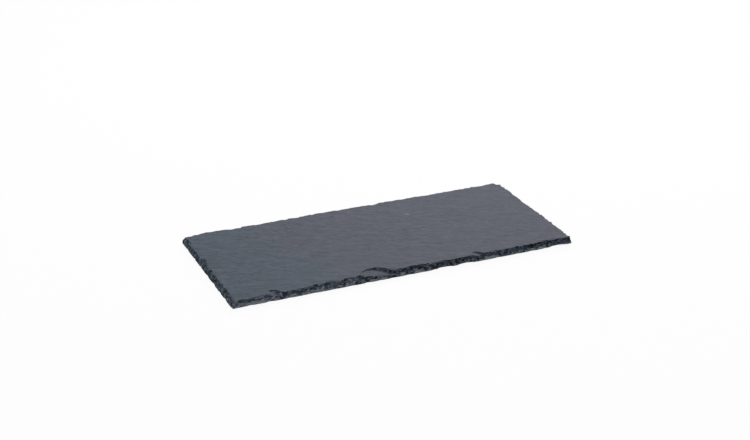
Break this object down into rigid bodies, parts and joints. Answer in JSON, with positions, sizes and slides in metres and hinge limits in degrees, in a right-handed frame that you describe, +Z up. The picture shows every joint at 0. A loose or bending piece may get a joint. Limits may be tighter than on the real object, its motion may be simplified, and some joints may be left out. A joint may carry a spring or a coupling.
{
  "type": "slate serving plate",
  "caption": "Rectangular serving plate split from natural slate, with hand-dressed chipped edges, standing on small self-adhesive foam feet.",
  "frame": {"origin": "on the table, under the centre of the plate's outline", "axes": "+X along the plate to the right, +Y across the plate to the back, +Z up from the table to the serving face"},
  "size_m": [0.3, 0.1334, 0.0087],
  "materials": {
    "slate": "riven cleavage face, matt with a faint silky sheen; darker broken edges",
    "foot_foam": "matt closed-cell foam",
    "foot_film": "milky adhesive film"
  },
  "bodies": {
    "root": {"slate_slab": "slate", "foot_pad_front_left": "foot_foam", "foot_pad_front_right": "foot_foam", "foot_pad_back_left": "foot_foam", "foot_pad_back_right": "foot_foam", "foot_film_front_left": "foot_film", "foot_film_front_right": "foot_film", "foot_film_back_left": "foot_film", "foot_film_back_right": "foot_film"}
  },
  "joints": []
}
